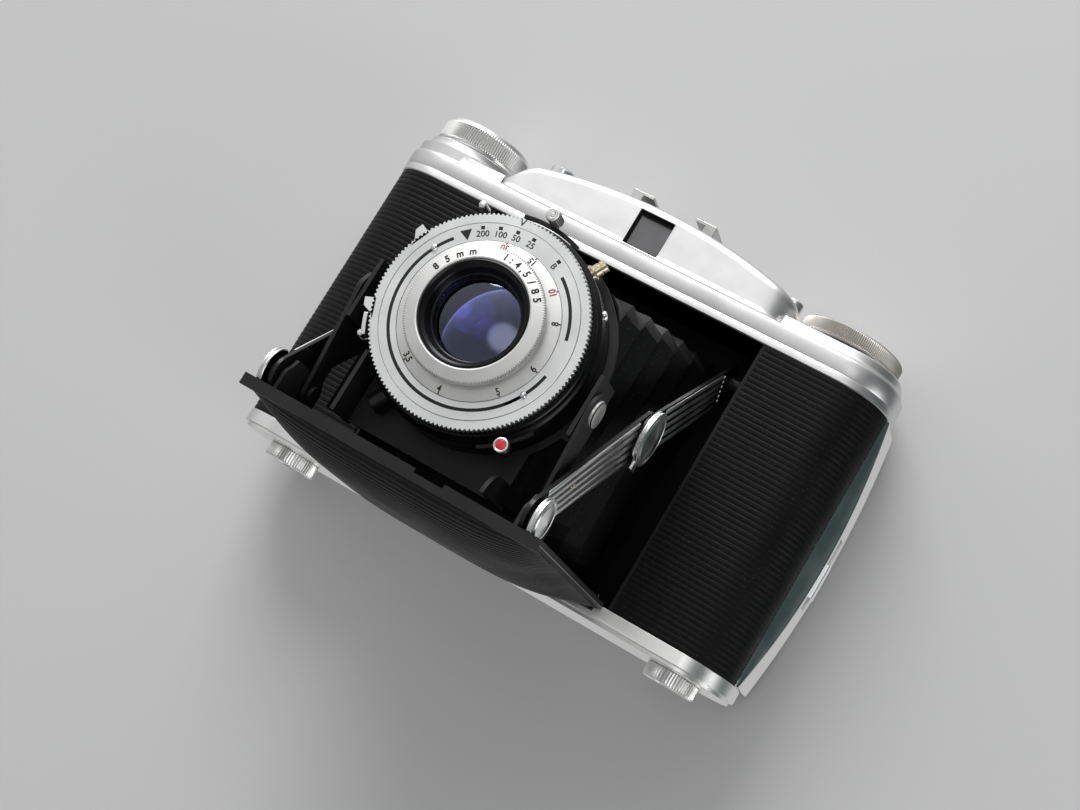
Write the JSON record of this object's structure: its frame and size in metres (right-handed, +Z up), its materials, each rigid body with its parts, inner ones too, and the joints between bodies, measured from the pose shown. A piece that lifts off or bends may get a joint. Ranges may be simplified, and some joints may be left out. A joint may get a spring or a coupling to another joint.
{
  "type": "folding camera",
  "caption": "Self-erecting folding roll-film camera, shown open: ribbed black body, satin metal top, bellows, chrome struts and a lens in a toothed leaf shutter.",
  "frame": {"origin": "mouth of the tripod socket, in the middle of the bottom plate", "axes": "+X to the right of someone facing the lens, -Y the way the lens looks, +Z up"},
  "size_m": [0.1552, 0.1077, 0.1081],
  "materials": {
    "black_paint": "semi-matt black enamel",
    "skin": "ribbed black leatherette",
    "satin_chrome": "satin chrome",
    "chrome": "polished chrome",
    "spool_plastic": "moulded",
    "dial_alloy": "aged, knurled",
    "glass": "coated",
    "red_glass": "ruby",
    "bellows_cloth": "pleated leathercloth",
    "brass": "plated brass",
    "blued_steel": "thin steel leaf"
  },
  "bodies": {
    "body": {"body_shell": "black_paint", "skin_right": "skin", "skin_left": "skin", "end_plate_right": "chrome", "end_plate_left": "chrome", "film_gate": "black_paint", "top_cover": "satin_chrome", "bottom_plate": "satin_chrome", "tripod_bush": "chrome", "finder_window": "black_paint", "finder_eyepiece": "glass", "accessory_shoe": "chrome", "door_hinge": "chrome", "bed_hinge_pin": "chrome", "strut_anchors": "black_paint", "bellows": "bellows_cloth"},
    "wind_knob": {"wind_knob": "satin_chrome", "takeup_spool": "spool_plastic"},
    "feed_spool": {"feed_spool": "spool_plastic"},
    "film_roller_right": {"film_roller_right": "chrome"},
    "film_roller_left": {"film_roller_left": "chrome"},
    "reminder_dial": {"reminder_dial": "dial_alloy", "dial_plate": "satin_chrome"},
    "release_button": {"release_button": "chrome"},
    "bed_button": {"bed_button": "satin_chrome"},
    "spool_knob_right": {"spool_knob_right": "satin_chrome"},
    "spool_knob_left": {"spool_knob_left": "satin_chrome"},
    "back_door": {"back_door": "black_paint", "door_skin": "skin", "door_strip": "satin_chrome", "pressure_spring": "blued_steel", "film_window": "red_glass"},
    "pressure_plate": {"pressure_plate": "black_paint"},
    "window_cover": {"window_cover": "satin_chrome"},
    "door_latch": {"door_latch": "chrome"},
    "bed": {"bed": "black_paint", "bed_skin": "skin", "ear_right": "black_paint", "ear_left": "black_paint"},
    "front_strut_right": {"front_strut_right": "chrome"},
    "front_strut_left": {"front_strut_left": "chrome"},
    "rear_strut_right": {"rear_strut_right": "chrome"},
    "rear_strut_left": {"rear_strut_left": "chrome"},
    "arm_right": {"arm_right": "black_paint"},
    "arm_left": {"arm_left": "black_paint"},
    "lens_standard": {"lens_board": "black_paint", "shutter_housing": "black_paint", "face_plate": "satin_chrome", "rear_cell": "black_paint", "iris_blades": "blued_steel", "sync_post": "brass", "cable_socket": "chrome"},
    "speed_ring": {"speed_ring": "satin_chrome"},
    "front_cell": {"distance_ring": "satin_chrome", "front_ring": "satin_chrome", "front_glass": "glass"},
    "cocking_lever": {"cocking_lever": "chrome"},
    "timer_lever": {"timer_lever": "chrome"},
    "aperture_lever": {"aperture_lever": "chrome"},
    "release_lever": {"release_lever": "chrome"}
  },
  "joints": [
    {"name": "bed_fold", "type": "hinge", "parent": "body", "child": "bed", "pos_m": [0, -0.017, 0.0047], "axis": [-1, 0, 0], "range_deg": [0, 90], "deforming": ["bellows"]},
    {"name": "arm_right_swing", "type": "hinge", "parent": "bed", "child": "arm_right", "pos_m": [0.0305, -0.074, 0.0095], "axis": [-1, 0, 0], "range_deg": [0, 90]},
    {"name": "arm_left_swing", "type": "hinge", "parent": "bed", "child": "arm_left", "pos_m": [-0.0305, -0.074, 0.0095], "axis": [-1, 0, 0], "range_deg": [0, 90]},
    {"name": "lens_standard_level", "type": "hinge", "parent": "arm_right", "child": "lens_standard", "pos_m": [0, -0.0767, 0.0355], "axis": [-1, 0, 0], "range_deg": [-180, 0]},
    {"name": "front_strut_right_swing", "type": "hinge", "parent": "bed", "child": "front_strut_right", "pos_m": [0.0331, -0.085, 0.009], "axis": [-1, 0, 0], "range_deg": [0, 36.76]},
    {"name": "rear_strut_right_swing", "type": "hinge", "parent": "body", "child": "rear_strut_right", "pos_m": [0.0331, -0.0051, 0.07025], "axis": [-1, 0, 0], "range_deg": [-48.06, 0]},
    {"name": "front_strut_left_swing", "type": "hinge", "parent": "bed", "child": "front_strut_left", "pos_m": [-0.0331, -0.085, 0.009], "axis": [-1, 0, 0], "range_deg": [0, 36.76]},
    {"name": "rear_strut_left_swing", "type": "hinge", "parent": "body", "child": "rear_strut_left", "pos_m": [-0.0331, -0.0051, 0.07025], "axis": [-1, 0, 0], "range_deg": [-48.06, 0]},
    {"name": "door_open", "type": "hinge", "parent": "body", "child": "back_door", "pos_m": [-0.0757, 0.0042, 0.0402], "axis": [0, 0, 1], "range_deg": [0, 110]},
    {"name": "latch_slide", "type": "slide", "parent": "back_door", "child": "door_latch", "axis": [0, 0, 1], "range_m": [0, 0.0025]},
    {"name": "pressure_plate_give", "type": "slide", "parent": "back_door", "child": "pressure_plate", "axis": [0, 1, 0], "range_m": [0, 0.0008], "stiffness_N_per_m": 400, "deforming": ["pressure_spring"]},
    {"name": "window_cover_slide", "type": "slide", "parent": "back_door", "child": "window_cover", "axis": [1, 0, 0], "range_m": [0, 0.0115]},
    {"name": "wind_turn", "type": "hinge", "parent": "body", "child": "wind_knob", "pos_m": [-0.059, -0.0005, 0.0402], "axis": [0, 0, 1], "continuous": true},
    {"name": "feed_spool_turn", "type": "hinge", "parent": "body", "child": "feed_spool", "pos_m": [0.059, -0.0005, 0.0402], "axis": [0, 0, 1], "continuous": true},
    {"name": "roller_right_turn", "type": "hinge", "parent": "body", "child": "film_roller_right", "pos_m": [0.0444, 0.0034, 0.0402], "axis": [0, 0, 1], "continuous": true},
    {"name": "roller_left_turn", "type": "hinge", "parent": "body", "child": "film_roller_left", "pos_m": [-0.0444, 0.0034, 0.0402], "axis": [0, 0, 1], "continuous": true},
    {"name": "reminder_turn", "type": "hinge", "parent": "body", "child": "reminder_dial", "pos_m": [0.056, 0, 0.09], "axis": [0, 0, 1], "continuous": true},
    {"name": "release_press", "type": "slide", "parent": "body", "child": "release_button", "axis": [0, 0, -1], "range_m": [0, 0.003], "stiffness_N_per_m": 150},
    {"name": "bed_button_press", "type": "slide", "parent": "body", "child": "bed_button", "axis": [0, 0, -1], "range_m": [0, 0.002], "stiffness_N_per_m": 150},
    {"name": "spool_knob_right_pull", "type": "slide", "parent": "body", "child": "spool_knob_right", "axis": [0, 0, -1], "range_m": [0, 0.008]},
    {"name": "spool_knob_left_pull", "type": "slide", "parent": "body", "child": "spool_knob_left", "axis": [0, 0, -1], "range_m": [0, 0.008]},
    {"name": "speed_turn", "type": "hinge", "parent": "lens_standard", "child": "speed_ring", "pos_m": [0, -0.083, 0.0402], "axis": [0, -1, 0], "range_deg": [-30, 45]},
    {"name": "focus_turn", "type": "hinge", "parent": "lens_standard", "child": "front_cell", "pos_m": [0, -0.083, 0.0402], "axis": [0, -1, 0], "range_deg": [-150, 110]},
    {"name": "cocking_turn", "type": "hinge", "parent": "lens_standard", "child": "cocking_lever", "pos_m": [0, -0.083, 0.0402], "axis": [0, -1, 0], "range_deg": [0, 26], "stiffness_Nm_per_rad": 0.004},
    {"name": "timer_turn", "type": "hinge", "parent": "lens_standard", "child": "timer_lever", "pos_m": [0, -0.083, 0.0402], "axis": [0, -1, 0], "range_deg": [-45, 0]},
    {"name": "aperture_turn", "type": "hinge", "parent": "lens_standard", "child": "aperture_lever", "pos_m": [0, -0.083, 0.0402], "axis": [0, -1, 0], "range_deg": [0, 50]},
    {"name": "release_lever_turn", "type": "hinge", "parent": "lens_standard", "child": "release_lever", "pos_m": [0, -0.083, 0.0402], "axis": [0, -1, 0], "range_deg": [-12, 0], "stiffness_Nm_per_rad": 0.004}
  ],
  "couplings": [
    {"joint": "arm_right_swing", "follows": "bed_fold", "ratio": 1},
    {"joint": "arm_left_swing", "follows": "bed_fold", "ratio": 1},
    {"joint": "lens_standard_level", "follows": "bed_fold", "ratio": -2},
    {"joint": "front_strut_right_swing", "follows": "bed_fold", "ratio": 0.40786},
    {"joint": "rear_strut_right_swing", "follows": "bed_fold", "ratio": -0.53341},
    {"joint": "front_strut_left_swing", "follows": "bed_fold", "ratio": 0.40786},
    {"joint": "rear_strut_left_swing", "follows": "bed_fold", "ratio": -0.53341}
  ]
}
